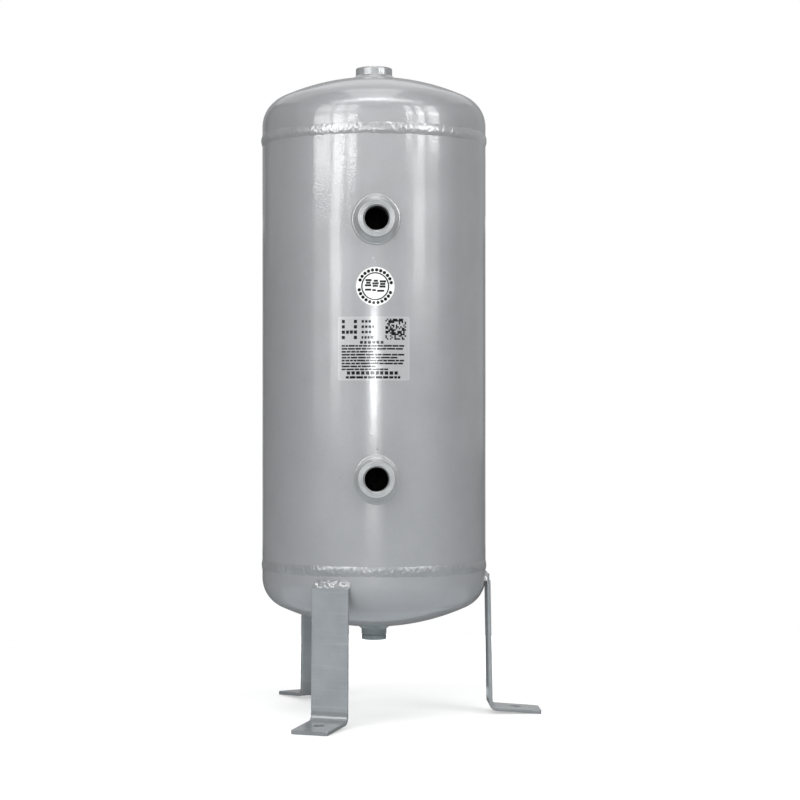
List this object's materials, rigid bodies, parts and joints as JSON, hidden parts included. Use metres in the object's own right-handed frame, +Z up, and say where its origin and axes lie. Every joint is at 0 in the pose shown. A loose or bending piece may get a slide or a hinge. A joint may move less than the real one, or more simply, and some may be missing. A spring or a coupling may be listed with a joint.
{
  "type": "air receiver tank",
  "caption": "Vertical welded steel receiver for compressed air, with dished heads, threaded port sockets and legs bent from flat bar.",
  "frame": {"origin": "On the floor, at the centre of the box that holds the whole tank. The tank's own axis stands at x = -35.5 mm, y = +5.0 mm, because the legs are not evenly spaced.", "axes": "+Z up along the tank's axis; -Y is the front, where the side ports and the labels face; +X is to the right, where one leg stands."},
  "size_m": [0.376, 0.4214, 0.866],
  "materials": {
    "tank_paint": "glossy silver-grey paint with light orange peel",
    "leg_paint": "thin silver-grey paint over rolled flat bar",
    "weld_paint": "silver-grey paint over rippled weld metal",
    "socket_paint": "silver-grey paint over turned steel",
    "backing_steel": "bare mill-finish steel, unseen inside",
    "sticker": "white sticker with a black ring and dots",
    "label_film": "thin silver film with black print marks"
  },
  "bodies": {
    "root": {"shell": "tank_paint", "top_head": "tank_paint", "bottom_head": "tank_paint", "seam_weld": "weld_paint", "top_girth_weld": "weld_paint", "bottom_girth_weld": "weld_paint", "top_backing_ring": "backing_steel", "bottom_backing_ring": "backing_steel", "inspection_label": "sticker", "data_label": "label_film", "top_port_socket": "socket_paint", "top_port_weld": "weld_paint", "upper_port_socket": "socket_paint", "upper_port_weld": "weld_paint", "lower_port_socket": "socket_paint", "lower_port_weld": "weld_paint", "drain_port_socket": "socket_paint", "drain_port_weld": "weld_paint", "leg_front_left": "leg_paint", "leg_front_left_weld": "weld_paint", "leg_right": "leg_paint", "leg_right_weld": "weld_paint", "leg_back_left": "leg_paint", "leg_back_left_weld": "weld_paint"}
  },
  "joints": []
}
